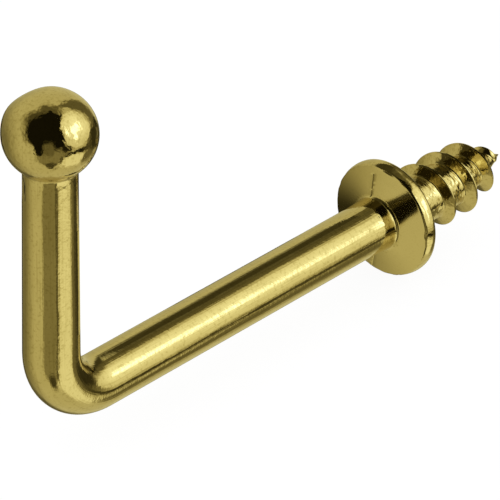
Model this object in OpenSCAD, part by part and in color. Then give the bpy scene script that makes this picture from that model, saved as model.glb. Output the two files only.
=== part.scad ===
// Ball end screw hook, headed, thread-rolled and bent from one length of wire.
// The origin is the centre of the collar's seat, which bears on the wall.
// The screw runs along +Y into the wall, the arm along -Y, and the leg stands up along +Z.

/* [Wire] */
// Diameter of the wire in the arm and the bend
wire_d = 4; // [3.2:0.1:4.6]

/* [Hook] */
// From the wall to the leg's centre line
arm_len = 35.5; // [24:0.5:60]
// From the arm's centre line up to the middle of the ball
leg_h = 21.6; // [15:0.1:40]
// Radius of the bend, along the wire's centre line
bend_r = 4.5; // [3.2:0.1:8]

/* [Ball] */
// Diameter of the ball, across the leg
ball_d = 6.6; // [5.6:0.1:9]
// How much the ball is shorter than it is wide
ball_squash = 0.32; // [0.1:0.02:0.8]
// How much slimmer than the wire the leg is where it meets the ball
neck_slim = 0.2; // [0:0.02:0.6]
// Radius of the fillet under the ball
neck_fillet = 0.3; // [0.1:0.05:0.6]

/* [Collar] */
// Diameter of the collar's rim
collar_d = 9.06; // [8:0.02:14]
// Thickness of the collar at its rim
rim_t = 1.03; // [0.8:0.01:2]
// How much the rounded rim falls away towards the sloping front face
rim_fall = 0.11; // [0.02:0.01:0.3]
// How far the bevel between the rim and the sloping front face reaches in from the rim
bevel_in = 0.09; // [0.04:0.01:0.6]
// How far the same bevel reaches back along the rim
bevel_back = 0.1; // [0.04:0.01:0.5]
// Extra thickness where the front face meets the arm
front_rise = 0.6; // [0.2:0.05:1.5]
// How much the arm swells, on its radius, before it meets the front face
arm_swell = 0.08; // [0.02:0.01:0.2]
// Length over which the arm swells
swell_len = 1.6; // [0.8:0.1:4]
// Radius of the fillet between the arm and the front face
arm_fillet = 0.25; // [0.1:0.05:0.6]
// Bevel round the edge of the seat
seat_bevel = 0.12; // [0.02:0.01:0.3]

/* [Screw] */
// Diameter over the thread's crest
crest_d = 5.34; // [4.6:0.02:7]
// Diameter of the core between the turns
core_d = 3.76; // [2.6:0.02:3.8]
// Distance from one turn of the thread to the next
pitch = 2.5; // [2:0.1:3.2]
// Length of the screw, from the seat to the point
screw_len = 12.6; // [9:0.1:25]
// Width of the flat on the crest
crest_land = 0.1; // [0.04:0.01:0.3]
// Width of the steep flank on the collar's side, from the middle of the crest
front_w = 0.46; // [0.3:0.02:0.6]
// Distance from the middle of the crest to the end of the shallow foot under that flank
foot_w = 0.8; // [0.65:0.02:0.95]
// Width of the flank on the point's side, from the middle of the crest
back_w = 0.5; // [0.3:0.02:0.7]
// Distance from the seat to where the ridge starts to rise
thread_start = 1.9; // [1.9:0.1:4]
// Distance over which the ridge rises to its full height
run_in = 1.4; // [0.6:0.1:2.5]
// Distance over which the ridge fades out again before the point
run_out = 1.5; // [0.8:0.1:2.5]
// Angle of the crest at the seat, from straight up towards +X
crest_angle = 184; // [0:1:359]
// Length over which the crest tapers to the point
crest_taper = 5.5; // [3:0.1:8]
// Length over which the core tapers to the point
core_taper = 7.9; // [3:0.1:9]
// How much slimmer than the wire the plain stub between the seat and the thread is
stub_slim = 0.1; // [0.04:0.02:0.2]

/* [Hidden] */
$fn = 96;

wire_r = wire_d / 2;
neck_r = (wire_d - neck_slim) / 2;
ball_h = ball_d - ball_squash;
// The bend starts and ends this far from the corner where the two centre lines meet.
arm_straight = arm_len - bend_r;
leg_straight = leg_h - bend_r;

collar_r = collar_d / 2;
rim_front_r = collar_r - rim_fall;
front_edge_r = rim_front_r - bevel_in;
swell_r = wire_r + arm_swell;
core_r = core_d / 2;
crest_r = crest_d / 2;
stub_r = (wire_d - stub_slim) / 2;
// The stub narrows over this length and ends this far under the core's surface.
stub_cone = 0.5;
stub_sink = 0.26;
// The swelling's cone starts this far under the arm's surface.
swell_sink = 0.03;
stub_end = thread_start - 0.05;
stub_end_r = core_r - stub_sink;

// The point: how fast crest and core fall towards it, and how blunt it is.
taper_power = 1.9;
blunt = 0.1;
run_out_end = 0.2;
// The thread's facets: rings along one turn, points round the bare core, and the ridge's two
// flanks as pairs of distance from the crest's middle and share of the full height.
rings_per_turn = 24;
core_points = 10;
foot_share = 0.12;
front_flank = [[crest_land / 2, 1], [front_w, foot_share], [foot_w, 0]];
back_flank = [[crest_land / 2, 1], [back_w / 2, 0.4], [back_w, 0]];

// A circle's place in the fillet under the ball: beside the neck, and touching the ball.
neck_x = neck_r + neck_fillet;
ball_circle_r = ball_h / 2;
ball_circle_x = ball_squash / 2;
neck_z = -sqrt(pow(ball_circle_r + neck_fillet, 2) - pow(neck_x - ball_circle_x, 2));
neck_share = neck_fillet / (ball_circle_r + neck_fillet);

// The collar's front face slopes by this angle, and the arm's fillet touches it.
front_y = -(rim_t + front_rise);
front_slope = atan(front_rise / (front_edge_r - swell_r));
arm_fillet_y = front_y - arm_fillet * (1 - sin(front_slope)) / cos(front_slope);
// The rounded rim's outline, from its front to the seat's bevel.
rim_steps = 8;
rim_front_y = bevel_back - rim_t;
rim = [
    for (i = [0:rim_steps])
        [
            rim_front_r + rim_fall * sin(90 * i / rim_steps),
            rim_front_y - (rim_front_y + seat_bevel) * i / rim_steps,
        ],
];

module along_screw() {
    rotate([-90, 0, 0]) children();
}

module arm() {
    translate([0, -rim_t / 2, 0])
        rotate([90, 0, 0])
            cylinder(h = arm_straight - rim_t / 2, r = wire_r);
}

module bend() {
    translate([0, -arm_straight, bend_r])
        rotate([-90, 0, 0])
            rotate([0, 90, 0])
                rotate_extrude(angle = 90)
                    translate([bend_r, 0])
                        circle(r = wire_r);
}

module leg() {
    translate([0, -arm_len, bend_r])
        cylinder(h = leg_straight, r1 = wire_r, r2 = neck_r);
}

// A ball a little flatter than a sphere, with its fillet down to the neck.
module ball_profile() {
    touch_x = neck_x + (ball_circle_x - neck_x) * neck_share;
    touch_z = neck_z * (1 - neck_share);
    intersection() {
        union() {
            translate([ball_circle_x, 0]) circle(r = ball_circle_r);
            translate([0, -ball_circle_r]) square([ball_circle_x, ball_h]);
        }
        translate([0, -ball_d]) square([ball_d, 2 * ball_d]);
    }
    difference() {
        polygon([[0, neck_z], [neck_x, neck_z], [touch_x, touch_z], [0, touch_z]]);
        translate([neck_x, neck_z]) circle(r = neck_fillet);
    }
}

module ball() {
    translate([0, -arm_len, leg_h]) rotate_extrude() ball_profile();
}

// The collar, from the swelling of the arm to its flat seat, and the stub behind it.
module collar_profile() {
    fillet_x = swell_r + arm_fillet;
    touch_x = fillet_x - arm_fillet * sin(front_slope);
    touch_y = arm_fillet_y + arm_fillet * cos(front_slope);
    polygon([
        [0, arm_fillet_y - swell_len],
        [wire_r - swell_sink, arm_fillet_y - swell_len],
        [swell_r, arm_fillet_y],
        [swell_r, front_y],
        [front_edge_r, -rim_t],
        each rim,
        [collar_r - seat_bevel, 0],
        [stub_r, 0],
        [stub_r, stub_end - stub_cone],
        [stub_end_r, stub_end],
        [0, stub_end],
    ]);
    difference() {
        polygon([[0, arm_fillet_y], [fillet_x, arm_fillet_y], [touch_x, touch_y], [0, touch_y]]);
        translate([fillet_x, arm_fillet_y]) circle(r = arm_fillet);
    }
}

module collar() {
    along_screw() rotate_extrude() collar_profile();
}

// What is left of a radius at a distance y from the seat, for a taper of that length.
function tapered(y, length) =
    let (start = screw_len - length)
    y < start ? 1 : 1 - pow((y - start) / length, taper_power);

function eased(share) =
    let (t = min(max(share, 0), 1))
    t * t * (3 - 2 * t);

// The ridge's share of its full height: it rises out of the core and fades into the point.
function risen(y) =
    eased((y - thread_start) / run_in) * eased((screw_len - run_out_end - y) / run_out);

function core_at(y) = core_r * tapered(y, core_taper);
function crest_at(y) = core_at(y) + (crest_r * tapered(y, crest_taper) - core_at(y)) * risen(y);

// One ring of the screw: the ridge's outline, and then the bare core round to it again. Each
// point is an angle from the crest, in turns, and a height on the ridge.
front_last = len(front_flank) - 1;
back_last = len(back_flank) - 1;
bare_from = front_flank[front_last][0] / pitch;
bare_step = (1 - bare_from - back_flank[back_last][0] / pitch) / core_points;
ring = [
    for (k = [back_last:-1:0]) [-back_flank[k][0] / pitch, back_flank[k][1]],
    for (k = [0:front_last]) [front_flank[k][0] / pitch, front_flank[k][1]],
    for (k = [1:core_points - 1]) [bare_from + k * bare_step, 0],
];

module thread() {
    first = -rim_t / 2;
    last = screw_len - blunt;
    steps = ceil((last - first) / pitch * rings_per_turn);
    n = len(ring);
    points = [
        for (j = [0:steps])
            let (y = first + (last - first) * j / steps)
            for (p = ring)
                let (
                    angle = crest_angle + 360 * (y / pitch + p[0]),
                    r = core_at(y) + (crest_at(y) - core_at(y)) * p[1]
                )
                [r * sin(angle), y, r * cos(angle)]
    ];
    sides = [
        for (j = [0:steps - 1], k = [0:n - 1])
            let (
                here = j * n + k,
                before = j * n + (k + n - 1) % n,
                above = here + n,
                above_before = before + n
            )
            each [[here, before, above_before], [above, here, above_before]]
    ];
    start_cap = [for (k = [0:n - 1]) k];
    end_cap = [for (k = [n - 1:-1:0]) steps * n + k];
    polyhedron(points, concat(sides, [start_cap], [end_cap]));
}

module hook() {
    color("goldenrod") {
        ball();
        leg();
        bend();
        arm();
        collar();
        thread();
    }
}

hook();
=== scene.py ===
import math
import bpy
from mathutils import Matrix, Vector, noise


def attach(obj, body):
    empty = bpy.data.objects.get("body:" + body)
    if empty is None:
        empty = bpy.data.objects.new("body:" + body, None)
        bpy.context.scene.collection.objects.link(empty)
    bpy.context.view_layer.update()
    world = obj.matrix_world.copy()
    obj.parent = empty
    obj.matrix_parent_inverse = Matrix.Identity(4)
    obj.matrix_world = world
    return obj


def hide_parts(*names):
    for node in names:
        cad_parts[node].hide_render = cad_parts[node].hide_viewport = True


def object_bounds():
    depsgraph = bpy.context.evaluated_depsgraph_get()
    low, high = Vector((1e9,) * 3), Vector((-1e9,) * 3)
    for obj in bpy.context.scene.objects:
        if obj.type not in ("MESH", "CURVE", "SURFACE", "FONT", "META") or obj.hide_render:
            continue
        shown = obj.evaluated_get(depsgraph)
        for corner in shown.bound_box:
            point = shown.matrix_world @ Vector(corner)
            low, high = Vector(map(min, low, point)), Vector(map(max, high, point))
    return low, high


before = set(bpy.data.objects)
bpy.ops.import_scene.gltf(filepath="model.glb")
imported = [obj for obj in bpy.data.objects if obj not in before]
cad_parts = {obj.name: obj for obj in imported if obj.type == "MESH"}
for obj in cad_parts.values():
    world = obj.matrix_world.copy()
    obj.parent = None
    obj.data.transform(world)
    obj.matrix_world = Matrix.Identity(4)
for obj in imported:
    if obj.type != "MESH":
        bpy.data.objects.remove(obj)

cadLow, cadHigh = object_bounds()
mm = 0.001
hair = 1e-6  # metres: points nearer to a place than this are at it
around = 120  # points in every ring, from the ball to the screw's tip
sharpAngle = 35  # degrees between faces, over which an edge isn't shaded smooth


class Value:
    # wraps an output socket, so that node maths reads as plain arithmetic
    def __init__(self, nodes, socket):
        self.nodes, self.socket = nodes, socket

    def do(self, operation, *others):
        return self.nodes.add("ShaderNodeMath", {"operation": operation}, [self, *others])

    def __add__(self, other):
        return self.do("ADD", other)

    def __sub__(self, other):
        return self.do("SUBTRACT", other)

    def __rsub__(self, other):
        return self.nodes.add("ShaderNodeMath", {"operation": "SUBTRACT"}, [other, self])

    def __mul__(self, other):
        return self.do("MULTIPLY", other)

    def __truediv__(self, other):
        return self.do("DIVIDE", other)

    def __pow__(self, other):
        return self.do("POWER", other)

    __radd__ = __add__
    __rmul__ = __mul__


class Nodes:
    # adds nodes to one tree: the type, its settings, then the values or links of its sockets
    def __init__(self, tree):
        self.tree = tree
        tree.nodes.clear()

    def add(self, kind, settings=None, inputs=None, out=0):
        node = self.tree.nodes.new(kind)
        for key, value in (settings or {}).items():
            setattr(node, key, value)
        pairs = inputs.items() if isinstance(inputs, dict) else enumerate(inputs or [])
        for key, value in pairs:
            if isinstance(value, Value):
                self.tree.links.new(value.socket, node.inputs[key])
            else:
                node.inputs[key].default_value = value
        return Value(self, node.outputs[out]) if node.outputs else None

    def part(self, vector, axis):
        return self.add("ShaderNodeSeparateXYZ", inputs=[vector], out=axis)

    def times(self, vector, other):
        return self.add("ShaderNodeVectorMath", {"operation": "MULTIPLY"}, [vector, other])

    def smooth(self, value, low, high):
        # 0 under low, 1 over high, and a soft step between
        return self.add(
            "ShaderNodeMapRange", {"interpolation_type": "SMOOTHSTEP"},
            {"Value": value, "From Min": low, "From Max": high, "To Min": 0.0, "To Max": 1.0},
        )

    def mixColor(self, share, first, second):
        return self.add(
            "ShaderNodeMix", {"data_type": "RGBA"}, {0: share, 6: first, 7: second}, out=2)


# the studio

camera = {
    "azimuth": 41.935,  # degrees from -Y towards +X
    "elevation": 31.57,
    "roll": 1.255,
    "distance": 320.435,
    "aimRight": -10.38,  # millimetres from the origin, along the camera's own right and up
    "aimUp": -2.587,
    "lens": 311.9,
    "sensor": 36,
    "clip": (0.01, 50),
}


def addCamera(c):
    a, e, r = (math.radians(c[k]) for k in ("azimuth", "elevation", "roll"))
    back = Vector((math.sin(a) * math.cos(e), -math.cos(a) * math.cos(e), math.sin(e)))
    right = Vector((math.cos(a), math.sin(a), 0))
    up = back.cross(right)
    across = right * math.cos(r) + up * math.sin(r)
    upward = up * math.cos(r) - right * math.sin(r)
    eye = bpy.data.cameras.new("studioCamera")
    eye.lens, eye.sensor_width = c["lens"], c["sensor"]
    eye.clip_start, eye.clip_end = c["clip"]
    eye.dof.use_dof = False
    holder = bpy.data.objects.new("studioCamera", eye)
    bpy.context.scene.collection.objects.link(holder)
    place = across * c["aimRight"] + upward * c["aimUp"] + back * c["distance"]
    turn = Matrix((across, upward, back)).transposed().to_4x4()
    holder.matrix_world = Matrix.Translation(place * mm) @ turn
    bpy.context.scene.camera = holder


studio = {
    "floorDrop": 0.02,  # millimetres under the lowest point of the rim
    "floorSize": 6.0,  # metres
    "floorColor": (0.95, 0.95, 0.95, 1),
    "floorGlow": 0.9,  # the part of the floor's white that no shadow takes away
    "glowStrength": 1.03,  # brings that part up to plain white
    "background": 1.0,
    # red, green and blue of what shows in the metal: each one's share of the level in the dark,
    # and how this share grows with the level, because the lamps are cooler than the room
    "tint": ((0.76,), (0.651, 0.059), (0.25, 0.13, 0.0155)),
    "cardPower": 3,  # 2 makes a card an ellipse, and more than 2 fills its corners
    "flagColor": (0.76, 0.66, 0.26, 1),
}


def addFloor(s):
    bpy.ops.object.select_all(action="DESELECT")
    height = cadLow.z - s["floorDrop"] * mm
    bpy.ops.mesh.primitive_plane_add(size=s["floorSize"], location=(0, 0, height))
    floor = bpy.context.object
    floor.name = "studioFloor"
    finish = bpy.data.materials.new("paleFloor")
    finish.use_nodes = True
    n = Nodes(finish.node_tree)
    paper = n.add("ShaderNodeBsdfDiffuse", inputs={"Color": s["floorColor"]})
    glow = n.add("ShaderNodeEmission", inputs={
        "Color": (1, 1, 1, 1), "Strength": s["glowStrength"]})
    surface = n.add("ShaderNodeMixShader", inputs={0: s["floorGlow"], 1: paper, 2: glow})
    n.add("ShaderNodeOutputMaterial", inputs={"Surface": surface})
    floor.data.materials.append(finish)
    floor.visible_glossy = False


# what stands round the hook and shows in the metal, each over those before it: the middle of the
# card or lamp as azimuth from +Y towards +X and height over the horizon, half its width and height,
# in degrees, the share of these that its edge fades over, and how bright it is
surroundings = {
    "ceiling": (0, 90, 360, 22, 0.3, 0.21),
    "backWall": (-172, 70, 50, 42, 0.3, 0.15),
    "leftCard": (-95, -28, 36, 31, 0.95, 0.34),
    "leftSlot": (-67, -31, 11, 13, 0.6, 0.03),
    "behind": (-40, -31, 22, 10, 0.6, 0.3),
    "gap": (-2, 28, 14, 44, 0.35, 0.24),
    "tableEdge": (22, -24, 24, 24, 0.3, 0.34),
    "tableShade": (14, -19, 17, 15, 0.4, 0.07),
    "tableLine": (90, -23, 56, 5, 0.4, 0.03),
    "underCamera": (133, -24, 34, 28, 0.15, 0.44),
    "tripod": (132, -52, 15, 9, 0.5, 0.12),
    "darkRoom": (130, 60, 78, 67, 0.12, 0.015),
    "roomFoot": (160, -5, 12, 21, 0.2, 0.015),
    "cameraHump": (137, -6, 12, 18, 0.4, 0.26),
    "tableCorner": (97, -8, 12, 9, 0.4, 0.03),
    "softbox": (60, 25.5, 41, 36.5, 0.08, 1.48),
    "softboxMiddle": (56, 30, 27, 22, 0.7, 2.05),
    "lampLeft": (55, 26, 9.5, 8, 0.5, 3.5),
    "lampRight": (69, 21, 4.5, 16, 0.5, 3.5),
    "lampFar": (85, 31, 4, 15, 0.5, 3.1),
    "bounce": (76, -42, 34, 14, 0.3, 1.65),
    "humpEdge": (110, -36, 4, 12, 0.5, 0.2),
    "lowLeft": (-62, -52, 26, 13, 0.6, 0.2),
    "tableFoot": (34, -39, 9, 9, 0.5, 0.27),
}


def tinted(level, terms):
    # the level times its share: the first term, and the others times its rising powers
    share = terms[-1]
    for term in reversed(terms[:-1]):
        share = term + share * level
    return level * share


def addWorld(s, cards):
    world = bpy.data.worlds.new("studioWorld")
    bpy.context.scene.world = world
    world.use_nodes = True
    world.cycles.sampling_method = "NONE"
    n = Nodes(world.node_tree)
    toward = n.add("ShaderNodeTexCoord", out="Generated")
    azimuth = n.part(toward, "X").do("ARCTAN2", n.part(toward, "Y")) * math.degrees(1)
    height = n.part(toward, "Z").do("ARCSINE") * math.degrees(1)
    power = s["cardPower"]
    level = 1
    for middle, up, halfWidth, halfHeight, soft, brightness in cards.values():
        across = (azimuth - middle).do("WRAP", 180, -180).do("ABSOLUTE") / halfWidth
        along = (height - up).do("ABSOLUTE") / halfHeight
        reach = (across ** power + along ** power) ** (1 / power)
        inside = 1 - n.smooth(reach, 1 - soft, 1 + soft)
        level = level + (brightness - level) * inside
    color = n.add("ShaderNodeCombineColor", inputs=[tinted(level, t) for t in s["tint"]])
    paths = n.add("ShaderNodeLightPath", out="Is Glossy Ray")
    white = n.add("ShaderNodeBackground", inputs={
        "Color": (1, 1, 1, 1), "Strength": s["background"]})
    room = n.add("ShaderNodeBackground", inputs={"Color": color, "Strength": 1.0})
    mixed = n.add("ShaderNodeMixShader", inputs={0: paths, 1: white, 2: room})
    n.add("ShaderNodeOutputWorld", inputs={"Surface": mixed})


# flags that show only in the metal: three lie over the hook in a row, two stand across the arm by
# the leg, a dark one towards the collar and a pale one towards the leg, and one stands beside the
# collar; each has its middle, its size before it is turned, and the distances along one axis over
# which its two edges fade, in millimetres, its turn in degrees, and how bright it is; where one has
# a start, this edge fades along Y
flags = {
    "overArm": {"middle": (-5.5, -11.4, 10), "size": (14.2, 29.2), "turn": (0, 0, 0),
                "axis": "X", "low": (-12.0, -5.5), "high": (-2.4, 1.6), "level": 0.1,
                "start": (-25.5, -22.5)},
    "overRim": {"middle": (-2, 5.6, 10), "size": (8, 4.8), "turn": (0, 0, 0),
                "axis": "X", "low": (-5.9, -4.6), "high": (-1.2, 2.4), "level": 0.24},
    "overScrew": {"middle": (-4, 44, 10), "size": (17.2, 72), "turn": (0, 0, 0),
                  "axis": "X", "low": (-12.5, -6.5), "high": (1.0, 3.6), "level": 0.05},
    "across": {"middle": (-3.4, -30.6, 7.8), "size": (12.4, 8.4), "turn": (90, 0, 0),
               "axis": "X", "low": (-9.5, -9.0), "high": (2.7, 2.8), "level": 0.08},
    "acrossBack": {"middle": (-3.9, -30.7, 7.8), "size": (11.2, 8.4), "turn": (90, 0, 0),
                   "axis": "X", "low": (-9.5, -9.0), "high": (1.2, 1.7), "level": 0.85},
    "beside": {"middle": (-12, -6, -6), "size": (12, 14), "turn": (0, 90, 0),
               "axis": "Z", "low": (-12.0, -11.5), "high": (-6.0, 0.6), "level": 0.05},
}


def addFlag(name, f, color):
    bpy.ops.object.select_all(action="DESELECT")
    bpy.ops.mesh.primitive_plane_add(size=mm, rotation=[math.radians(a) for a in f["turn"]])
    card = bpy.context.object
    card.name = "studioFlag" + name.title()
    card.scale = (*f["size"], 1)
    card.location = Vector(f["middle"]) * mm
    bpy.ops.object.transform_apply()
    finish = bpy.data.materials.new("darkCloth" + name.title())
    finish.use_nodes = True
    n = Nodes(finish.node_tree)
    place = n.add("ShaderNodeTexCoord", out="Object")
    along = n.part(place, f["axis"]) / mm
    inside = n.smooth(along, *f["low"]) * (1 - n.smooth(along, *f["high"]))
    if "start" in f:
        inside = inside * n.smooth(n.part(place, "Y") / mm, *f["start"])
    clear = n.add("ShaderNodeBsdfTransparent")
    cloth = n.add("ShaderNodeEmission", inputs={"Color": color, "Strength": f["level"]})
    surface = n.add("ShaderNodeMixShader", inputs={0: inside, 1: clear, 2: cloth})
    n.add("ShaderNodeOutputMaterial", inputs={"Surface": surface})
    card.data.materials.append(finish)
    card.visible_camera = card.visible_diffuse = card.visible_shadow = False


addCamera(camera)
for name, flag in flags.items():
    addFlag(name, flag, studio["flagColor"])
addFloor(studio)
addWorld(studio, surroundings)
bpy.context.scene.view_settings.view_transform = "Standard"
print("studio ready")


# the hook's mesh, with sizes in millimetres and angles in degrees

def edit(piece, action="DESELECT"):
    bpy.context.view_layer.objects.active = piece
    piece.select_set(True)
    bpy.ops.object.mode_set(mode="EDIT")
    bpy.ops.mesh.select_mode(type="VERT")
    bpy.ops.mesh.select_all(action=action)


def unpick(piece):
    bpy.ops.object.mode_set(mode="OBJECT")
    for parts in (piece.data.vertices, piece.data.edges, piece.data.polygons):
        parts.foreach_set("select", [False] * len(parts))


def pickVertices(piece, test):
    # selects the vertices whose place passes the test
    unpick(piece)
    for v in piece.data.vertices:
        v.select = test(v.co)
    bpy.ops.object.mode_set(mode="EDIT")


def pickEdges(piece, test):
    # selects the edges whose two ends pass the test
    unpick(piece)
    co = [v.co for v in piece.data.vertices]
    for e in piece.data.edges:
        e.select = test(co[e.vertices[0]], co[e.vertices[1]])
    bpy.ops.object.mode_set(mode="EDIT")


def addRing(radius, name):
    # a ring round the Y axis, at the origin
    bpy.ops.object.select_all(action="DESELECT")
    bpy.ops.mesh.primitive_circle_add(
        vertices=around, radius=radius * mm, rotation=(math.pi / 2, 0, 0))
    bpy.ops.object.transform_apply(rotation=True)
    bpy.context.object.name = name
    return bpy.context.object


def extrude(x, y, z):
    bpy.ops.mesh.extrude_region_move(TRANSFORM_OT_translate={"value": (x, y, z)})


def resize(x, y, z, centre):
    bpy.ops.transform.resize(value=(x, y, z), center_override=centre)


def fade(value, low, high):
    # the same soft step as the nodes' smooth, on a number
    t = min(max((value - low) / (high - low), 0), 1)
    return t * t * (3 - 2 * t)


wire = {
    "radius": 2.0, "armLength": 35.5, "legHeight": 21.6, "bendRadius": 4.5, "neckRadius": 1.9,
    "armLoops": 60, "bendLoops": 24, "legLoops": 84,
    # a tool's mark under the ball: its angle from +X towards +Y, its height up the leg, how far it
    # reaches round and along, and how deep it is
    "markAngle": 238, "markHeight": 17.6, "markRound": 0.45, "markAlong": 0.8, "markDepth": 0.16,
}


def makeArm(w, startY):
    # the arm from inside the collar to the bend, and the bend
    armEnd, bendR = -(w["armLength"] - w["bendRadius"]) * mm, w["bendRadius"] * mm
    piece = addRing(w["radius"], "wireRod")
    edit(piece, "SELECT")
    bpy.ops.transform.translate(value=(0, startY, 0))
    extrude(0, armEnd - startY, 0)
    bpy.ops.mesh.select_mode(type="EDGE")
    pickEdges(piece, lambda a, b: abs(a.y - b.y) > mm)  # the long edges, and no ring's
    bpy.ops.mesh.subdivide(number_cuts=w["armLoops"])
    bpy.ops.mesh.select_mode(type="VERT")
    pickVertices(piece, lambda c: abs(c.y - armEnd) < hair)
    bpy.ops.mesh.spin(
        steps=w["bendLoops"], angle=math.pi / 2, center=(0, armEnd, bendR), axis=(1, 0, 0))
    return piece


def addLeg(piece, w, legTop):
    # the leg up to the ball's neck, whose ring stays picked
    bendR, legY = w["bendRadius"] * mm, -w["armLength"] * mm
    pickVertices(piece, lambda c: abs(c.z - bendR) < hair)
    extrude(0, 0, legTop - bendR)
    k = w["neckRadius"] / w["radius"]
    resize(k, k, 1, (0, legY, legTop))
    bpy.ops.mesh.select_mode(type="EDGE")
    pickEdges(piece, lambda a, b: abs(a.z - b.z) > mm)  # the leg's long edges
    bpy.ops.mesh.subdivide(number_cuts=w["legLoops"])
    bpy.ops.mesh.select_mode(type="VERT")
    bpy.ops.object.mode_set(mode="OBJECT")
    pressMark(piece, w, legTop)
    pickVertices(piece, lambda c: abs(c.z - legTop) < hair)


def pressMark(piece, w, legTop):
    legY = -w["armLength"] * mm
    for v in piece.data.vertices:
        x, y, height = v.co.x, v.co.y - legY, v.co.z / mm
        if height > w["bendRadius"] and v.co.z < legTop - hair:
            apart = (math.degrees(math.atan2(y, x)) - w["markAngle"] + 180) % 360 - 180
            apart = math.radians(apart) * w["radius"] / w["markRound"]
            along = (height - w["markHeight"]) / w["markAlong"]
            k = 1 - math.exp(-apart ** 4 - along ** 4) * w["markDepth"] / w["radius"]
            v.co = (x * k, legY + y * k, v.co.z)


ball = {
    "radius": 3.293, "squash": 0.32,  # the squash is how much it is shorter than wide
    "neckFillet": 0.3, "rings": 64, "filletRings": 5,
    # it isn't quite round: the direction of each high or low place, how wide and how high
    "uneven": ((-0.82, -0.4, 0.4, 20, 0.07), (-0.68, -0.01, 0.73, 24, -0.1),
               (0.3, 0.2, 0.9, 30, -0.05)),
}


def neckFillet(b, w):
    # the middle of the fillet's circle, seen from the ball's middle, and the angle it turns through
    half, offset = b["radius"] - b["squash"] / 2, b["squash"] / 2
    x = w["neckRadius"] + b["neckFillet"]
    z = -math.sqrt((half + b["neckFillet"]) ** 2 - (x - offset) ** 2)
    return x, z, math.atan2(-z, x - offset)


def stackRings(centre, profile):
    # extrudes the picked ring through a list of radius and height, and leaves the last one picked
    radius, height = profile[0]
    for nextRadius, nextHeight in profile[1:]:
        extrude(0, 0, nextHeight - height)
        k = nextRadius / radius
        resize(k, k, 1, (*centre, nextHeight))
        radius, height = nextRadius, nextHeight


def addBall(b, w):
    # the fillet over the neck, then the ball, closed at its top
    middle = w["legHeight"]
    half, offset, fillet = b["radius"] - b["squash"] / 2, b["squash"] / 2, b["neckFillet"]
    x, z, swing = neckFillet(b, w)
    profile = [(w["neckRadius"], middle + z)]
    for i in range(1, b["filletRings"] + 1):
        t = swing * i / b["filletRings"]
        profile.append((x - fillet * math.cos(t), middle + z + fillet * math.sin(t)))
    for i in range(1, b["rings"]):
        t = -swing + (math.pi / 2 + swing) * i / b["rings"]
        profile.append((offset * math.sqrt(math.cos(t)) + half * math.cos(t),
                        middle + half * math.sin(t)))
    stackRings((0, -w["armLength"] * mm), [(r * mm, h * mm) for r, h in profile])
    extrude(0, 0, (middle + half - profile[-1][1]) * mm)
    bpy.ops.mesh.merge(type="CENTER")
    bpy.ops.object.mode_set(mode="OBJECT")
    centre = Vector((0, -w["armLength"], middle))
    for v in bpy.context.object.data.vertices:
        out = v.co / mm - centre
        if out.z > z + fillet:
            push = 0
            for x, y, up, wide, rise in b["uneven"]:
                apart = math.degrees(out.angle(Vector((x, y, up))))
                push += rise * math.exp(-(apart / wide) ** 2)
            v.co += out.normalized() * push * mm


collar = {
    "radius": 4.524, "thickness": 1.03, "rimFall": 0.11, "rimSteps": 8,
    "rimTurn": 0.74,  # how much of half a circle the rounded rim goes through
    "frontRise": 0.6, "armSwell": 0.08, "swellLength": 1.6, "swellBevel": 0.32, "armFillet": 0.25,
    "creaseIn": 0.09, "creaseBack": 0.1, "creaseBevel": 0.025, "edgeBevel": 0.03,
    "seatBevel": 0.12, "seatEdge": 0.02, "seatFillet": 0.12,
    "armJoin": -3.8, "screwJoin": 0.9,  # where it meets the arm and the screw
    "cuts": ((1.5, 23), (0.25, 5)),  # an outline's edge over the first is cut by the second
    # the dies' parting lines: the place at which each crosses the collar's front face, as the
    # offset from a radius and its change along it, which side it is on, from and to which radius
    # it runs, and how deep it is
    "seams": ((-0.29, -0.124, 1, 2.0, 3.9, 0.035), (0.8, -0.354, -1, 2.6, 4.4, 0.02)),
    "seamWidth": 0.05, "seamLip": 0.014,  # how far the next columns stand off, and one's rise
    "seamEnds": (0.15, 0.1), "seamClear": 0.02,  # fades at both ends, and distance off the arm
    "seamPull": 12,  # over how many degrees the columns farther off lean to a line
    "seamRough": (0.5, 3),  # share of the depth, and waves to a millimetre
    # the crease between face and rim: how far off its middle is, over what distances from there
    # the crease and its nick fade, where on the rim it ends, and how rough it is
    "creaseShift": 0.03, "creaseReach": (0.06, 0.2), "nickReach": (0.03, 0.09),
    "creaseEnd": -0.618, "creaseRough": 0.035, "creaseLeast": -0.3,
    # its coarse and fine waves to a millimetre, the fine ones' share, and how few of the coarse
    # ones there are along the axis
    "creaseWaves": (2.2, 5), "creaseFine": 0.6, "creaseStretch": 0.3,
    "widePlace": (6, 9, 0.05), "nick": (84, 1.8, 0.16),  # angle, half its width, and depth
}


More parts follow.
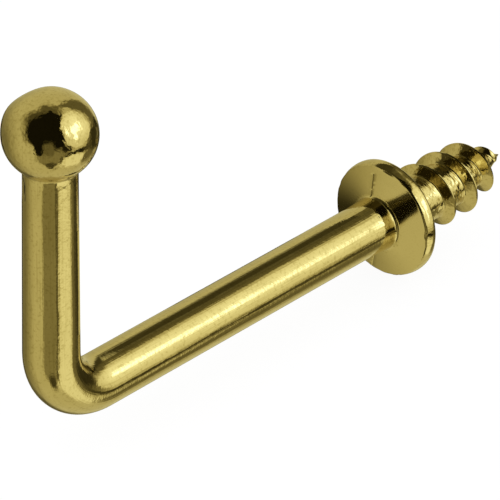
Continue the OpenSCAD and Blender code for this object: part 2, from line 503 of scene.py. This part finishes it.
def makeCollar(c, w, s):
    # the outline is drawn as corners, bevelled and spun round the screw's axis
    front = -(c["thickness"] + c["frontRise"])
    swollen = w["radius"] + c["armSwell"]
    rimFront = c["radius"] - c["rimFall"]
    frontEdge = rimFront - c["creaseIn"]
    slope = math.atan2(c["frontRise"], frontEdge - swollen)
    filletBack = c["armFillet"] * (1 - math.sin(slope)) / math.cos(slope)
    rimBack, rimSteps = c["creaseBack"] - c["thickness"], c["rimSteps"]
    # each corner: its radius, its place along the axis, and its bevel's width and segments
    corners = [
        (w["radius"], c["armJoin"], 0, 0),
        (w["radius"], front - filletBack - c["swellLength"], c["swellBevel"], 3),
        (swollen, front, filletBack, 5),
        (frontEdge, -c["thickness"], c["edgeBevel"], 3),
        (rimFront, rimBack, c["creaseBevel"], 3),
    ]
    for i in range(1, rimSteps + 1):
        t = i / rimSteps
        corners.append((rimFront + c["rimFall"] * math.sin(t * math.pi * c["rimTurn"]),
                        rimBack - (rimBack + c["seatBevel"]) * t, 0, 0))
    corners += [
        (c["radius"] - c["seatBevel"], 0, c["seatEdge"], 2),
        (s["stubRadius"], 0, c["seatFillet"], 3),
        (s["stubRadius"], c["screwJoin"], 0, 0),
    ]
    bpy.ops.object.select_all(action="DESELECT")
    bpy.ops.mesh.primitive_plane_add(size=mm)
    piece = bpy.context.object
    piece.name = "collar"
    edit(piece, "SELECT")
    bpy.ops.mesh.merge(type="CENTER")
    bpy.ops.transform.translate(value=(0, corners[0][1] * mm, corners[0][0] * mm))
    for here, after in zip(corners, corners[1:]):
        extrude(0, (after[1] - here[1]) * mm, (after[0] - here[0]) * mm)
    for radius, y, width, segments in corners:
        if width:
            spot = Vector((0, y, radius)) * mm
            pickVertices(piece, lambda v: (v - spot).length < hair)
            bpy.ops.mesh.bevel(
                offset=width * mm, segments=segments, affect="VERTICES", clamp_overlap=True)
    bpy.ops.mesh.select_mode(type="EDGE")
    for longest, number in c["cuts"]:
        pickEdges(piece, lambda a, b: longest * mm < (a - b).length)
        bpy.ops.mesh.subdivide(number_cuts=number)
    bpy.ops.mesh.select_all(action="SELECT")
    bpy.ops.mesh.spin(steps=around, angle=math.tau, center=(0, 0, 0), axis=(0, 1, 0))
    bpy.ops.mesh.select_mode(type="VERT")
    bpy.ops.mesh.select_all(action="SELECT")
    bpy.ops.mesh.remove_doubles(threshold=hair / 10)
    bpy.ops.object.mode_set(mode="OBJECT")
    markSeams(piece, c, w)
    roughenCrease(piece, c)
    return piece


def markSeams(piece, c, w):
    # draws the nearest columns of points together along each parting line, and sinks the middle one
    column = 360 / around
    (start, end), (rough, waves) = c["seamEnds"], c["seamRough"]
    for offset, lean, side, nearest, farthest, depth in c["seams"]:
        for v in piece.data.vertices:
            x, y, z = v.co / mm
            radius = math.hypot(x, z)
            if y > -c["thickness"] + c["creaseBack"] / 2 or radius < w["radius"] + c["seamClear"]:
                continue
            held = fade(radius, nearest, nearest + start)
            held *= 1 - fade(radius, farthest - end, farthest)
            if held == 0:
                continue
            angle = math.degrees(math.atan2(x * side, z * side))
            seam = math.degrees(math.asin((offset + lean * radius) * side / radius))
            middle = column * round(seam / column)
            apart = angle - middle
            moved = apart + (seam - middle) * math.exp(-(apart / c["seamPull"]) ** 2)
            columns = round(apart / column)
            if abs(columns) <= 1:
                moved = seam - middle + math.degrees(c["seamWidth"] / radius) * columns
                sink = -c["seamLip"] if columns * side < 0 else 0
                if columns == 0:
                    sink = depth
                y += sink * held * (1 + rough * noise.noise(Vector((0, 0, radius * waves))))
            angle = math.radians(angle + (middle + moved - angle) * held)
            out = radius * side
            v.co = Vector((math.sin(angle) * out, y, math.cos(angle) * out)) * mm


def roughenCrease(piece, c):
    # the crease is uneven, wider at the top, and has a nick on one side
    middle = c["radius"] - c["rimFall"] - c["creaseIn"] + c["creaseShift"]
    (wideAngle, wideHalf, wideDepth), (nickAngle, nickHalf, nickDepth) = c["widePlace"], c["nick"]
    coarse, fine = c["creaseWaves"]
    for v in piece.data.vertices:
        x, y, z = v.co / mm
        radius, angle = math.hypot(x, z), math.degrees(math.atan2(x, z))
        near = 1 - fade(abs(radius - middle), *c["creaseReach"])
        if near == 0 or y > c["creaseEnd"]:
            continue
        rough = noise.noise(Vector((x, y * c["creaseStretch"], z)) * coarse)
        rough += c["creaseFine"] * noise.noise(Vector((x, y, z)) * fine)
        wide = math.exp(-((angle - wideAngle) / wideHalf) ** 2) * wideDepth
        nick = math.exp(-((angle - nickAngle) / nickHalf) ** 2) * nickDepth
        nick *= 1 - fade(abs(radius - middle), *c["nickReach"])
        k = 1 - near * (max(rough, c["creaseLeast"]) * c["creaseRough"] + wide) / radius
        v.co = Vector((x * k, y + near * wide + nick, z * k)) * mm


screw = {
    "coreRadius": 1.9, "crestRadius": 2.67, "pitch": 2.5, "ringsPerTurn": 72, "crestAngle": 184,
    "length": 12.499, "blunt": 0.06, "crestTaper": 5.5, "coreTaper": 7.86, "taperPower": 1.9,
    "start": 1.9, "runIn": 1.4, "runOut": 1.5, "runOutEnd": 0.1,
    "stubRadius": 1.95, "stubEnd": 1.35, "stubFall": 0.4,
    # the ridge's two flanks, as distance from the crest's middle and share of the full height
    "front": ((0.05, 1), (0.09, 0.95), (0.46, 0.12), (0.52, 0.06), (0.8, 0)),
    "back": ((0.05, 1), (0.25, 0.4), (0.5, 0)),
    # the core's dents: how wide and high they are, how far up the flanks they reach, and over what
    # distances they start and how far before the point they end
    "dent": 0.3, "dentHeight": 0.035, "dentShare": 0.12, "dentStart": 0.5, "dentEnd": (1, 2),
    "fineDent": 2.3, "fineShare": 0.5,
}


def threadRadius(s, y, turn):
    # the screw's radius at a distance from the seat and an angle in turns from upright
    def tapered(length):
        start = s["length"] - length
        return 1 if y < start else max(0, 1 - ((y - start) / length) ** s["taperPower"])

    core = s["coreRadius"] * tapered(s["coreTaper"])
    crest = s["crestRadius"] * tapered(s["crestTaper"])
    apart = turn - s["crestAngle"] / 360 - y / s["pitch"]
    away = -(apart - round(apart)) * s["pitch"]
    share = 1.0
    outline = s["front"] if away < 0 else s["back"]
    for (nearX, nearShare), (farX, farShare) in zip(outline, outline[1:]):
        if abs(away) > nearX:
            step = min((abs(away) - nearX) / (farX - nearX), 1)
            share = nearShare + (farShare - nearShare) * step
    left = s["length"] - y
    rise = (crest - core) * fade(y, s["start"], s["start"] + s["runIn"])
    rise *= fade(left, s["runOutEnd"], s["runOutEnd"] + s["runOut"])
    stub = 1 - fade(y, s["stubEnd"], s["stubEnd"] + s["stubFall"])
    radius = core + (s["stubRadius"] - core) * stub
    dented = (1 - fade(share, 0, s["dentShare"])) * fade(left, *s["dentEnd"])
    dented *= fade(y, s["start"], s["start"] + s["dentStart"])
    if dented:
        angle = turn * math.tau
        place = Vector((radius * math.sin(angle), y, radius * math.cos(angle))) / s["dent"]
        rough = noise.noise(place) + s["fineShare"] * noise.noise(place * s["fineDent"])
        radius += rough * dented * s["dentHeight"]
    return radius + rise * share


def makeScrew(s, joinY):
    # a ring swept along the axis, turning as the thread does, and then every point is moved out to
    # the thread's surface
    length = s["length"] - s["blunt"] - joinY
    steps = round(length / s["pitch"] * s["ringsPerTurn"])
    piece = addRing(s["stubRadius"], "screwThread")
    sweep = piece.modifiers.new("sweep", "SCREW")
    sweep.axis = "Y"
    sweep.angle = math.tau * steps / s["ringsPerTurn"]
    sweep.screw_offset = length * mm
    sweep.steps = sweep.render_steps = steps
    sweep.use_smooth_shade = False
    bpy.ops.object.modifier_apply(modifier="sweep")
    for v in piece.data.vertices:
        y = v.co.y / mm + joinY
        turn = math.atan2(v.co.x, v.co.z) / math.tau
        out = threadRadius(s, y, turn) * mm / math.hypot(v.co.x, v.co.z)
        v.co = (v.co.x * out, y * mm, v.co.z * out)
    edit(piece)
    pickVertices(piece, lambda c: c.y > (joinY + length) * mm - hair)
    extrude(0, s["blunt"] * mm, 0)
    bpy.ops.mesh.merge(type="CENTER")
    bpy.ops.object.mode_set(mode="OBJECT")
    return piece


def joinPieces(pieces, name):
    bpy.ops.object.select_all(action="DESELECT")
    for piece in pieces:
        piece.select_set(True)
    bpy.context.view_layer.objects.active = pieces[0]
    bpy.ops.object.join()
    whole = bpy.context.object
    whole.name = whole.data.name = name
    edit(whole)
    bpy.ops.mesh.select_non_manifold(extend=False)
    bpy.ops.mesh.remove_doubles(threshold=2 * hair)
    bpy.ops.mesh.select_all(action="SELECT")
    bpy.ops.mesh.normals_make_consistent(inside=False)
    bpy.ops.object.mode_set(mode="OBJECT")
    bpy.ops.object.shade_smooth_by_angle(angle=math.radians(sharpAngle))
    return whole


rod = makeArm(wire, collar["armJoin"] * mm)
addLeg(rod, wire, (wire["legHeight"] + neckFillet(ball, wire)[1]) * mm)
addBall(ball, wire)
print("wire and ball made:", len(rod.data.vertices), "vertices")
head = makeCollar(collar, wire, screw)
print("collar made:", len(head.data.vertices), "vertices")
threaded = makeScrew(screw, collar["screwJoin"])
print("screw made:", len(threaded.data.vertices), "vertices")
rod = joinPieces([rod, head, threaded], "ballEndHook")
print("joined:", len(rod.data.polygons), "faces")


# the hook's finish

def straightened(w, c):
    # where a point of the hook would be if the wire were straight: its distance along the wire
    # takes the place of y, and the bend's inner side stays up
    armEnd, bendR = -(w["armLength"] - w["bendRadius"]) * mm, w["bendRadius"] * mm
    if c.y > armEnd:
        return c.x, c.y, c.z
    if c.z > bendR:
        return c.x, armEnd - bendR * math.pi / 2 - (c.z - bendR), c.y + w["armLength"] * mm
    turn = math.atan2(armEnd - c.y, bendR - c.z)
    return c.x, armEnd - bendR * turn, bendR - math.hypot(armEnd - c.y, bendR - c.z)


def markStraight(piece, w):
    marks = piece.data.attributes.new("straight", "FLOAT_VECTOR", "POINT")
    flat = []
    for v in piece.data.vertices:
        flat += straightened(w, v.co)
    marks.data.foreach_set("vector", flat)


brassLook = {
    "color": (0.58, 0.49, 0.24, 1), "colorDark": (0.45, 0.37, 0.16, 1),
    # each: size in millimetres, share of the dark color, and the noise's values over which it comes
    "tarnish": (2.2, 0.25, (0.35, 0.7)), "specks": (0.22, 0.9, (0.5, 0.75)),
    "lines": (0.12, 0.6, (0.5, 0.75)),
    "roughness": 0.03, "roughnessSpread": 0.03, "roughnessSize": 0.5,
    # each: size in millimetres, height on the drawn wire and on the headed ends
    "waves": (1.2, 0.008, 0.03),
    "dimples": (0.45, 0.006, 0.022),
    "grain": (0.17, 0.0042, 0.006),
    "streaks": (0.12, 0.006, 0.001), "streaksLength": 5.0,
    "ballStart": 51.6, "wallSide": -0.3, "blend": 0.4,  # distances along the wire
    # the collar's front face: the distances outside the arm and along the axis over which its own
    # finish comes and goes, how much rougher it is, and how much flatter
    "faceOut": (0.3, 0.5), "faceFront": (-2.5, -2.4), "faceBack": (-1.06, -1.0),
    "faceRoughness": 0.06, "faceSmoothness": 0.8,
}


def brassFinish(b, w):
    finish = bpy.data.materials.new("brassPlate")
    finish.use_nodes = True
    n = Nodes(finish.node_tree)
    place = n.add("ShaderNodeTexCoord", out="Object")
    along = n.add("ShaderNodeAttribute", {"attribute_name": "straight"}, out="Vector")

    def grains(size, vector, detail, roughness=0.5):
        return n.add("ShaderNodeTexNoise", {"noise_dimensions": "3D"}, {
            "Vector": vector, "Scale": 1 / (size * mm), "Detail": detail, "Roughness": roughness})

    # the drawn wire's pattern is stretched along it, and the headed ends are beyond it
    drawn = n.times(along, (1, b["streaks"][0] / b["streaksLength"], 1))
    distance = -1 * n.part(along, "Y") / mm
    headed = 1 - (n.smooth(distance, b["wallSide"], b["wallSide"] + b["blend"])
                  * (1 - n.smooth(distance, b["ballStart"], b["ballStart"] + b["blend"])))

    # where the collar's front face is, outside the arm
    y = n.part(place, "Y") / mm
    radius = n.add("ShaderNodeVectorMath", {"operation": "LENGTH"},
                   [n.times(place, (1, 0, 1))], out="Value") / mm
    onFace = (n.smooth(radius, *(w["radius"] + out for out in b["faceOut"]))
              * n.smooth(y, *b["faceFront"]) * (1 - n.smooth(y, *b["faceBack"])))
    flatter = 1 - onFace * b["faceSmoothness"]

    def layer(key, vector):
        size, onWire, onEnds = b[key]
        depth = onWire + (onEnds - onWire) * headed
        return (grains(size, vector, detail=1.0) - 0.5) * depth

    def darker(key, vector, detail=2.0, roughness=0.5):
        size, share, (low, high) = b[key]
        return n.smooth(grains(size, vector, detail, roughness), low, high) * share

    height = (layer("waves", place) + layer("dimples", place) + layer("grain", place)
              + layer("streaks", drawn)) * flatter
    bumped = n.add("ShaderNodeBump", inputs={"Strength": 1.0, "Distance": mm, "Height": height})
    dark = (darker("tarnish", place, detail=4.0, roughness=0.6) + darker("specks", place)
            + darker("lines", drawn)) * flatter
    color = n.mixColor(dark, b["color"], b["colorDark"])
    spread = grains(b["roughnessSize"], place, detail=3.0) * b["roughnessSpread"]
    roughness = b["roughness"] + spread + onFace * b["faceRoughness"]
    shader = n.add("ShaderNodeBsdfPrincipled", inputs={
        "Base Color": color, "Metallic": 1.0, "Roughness": roughness, "Normal": bumped})
    n.add("ShaderNodeOutputMaterial", inputs={"Surface": shader})
    return finish


markStraight(rod, wire)
rod.data.materials.clear()
rod.data.materials.append(brassFinish(brassLook, wire))
print("finish ready")

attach(rod, "root")
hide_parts("hook")
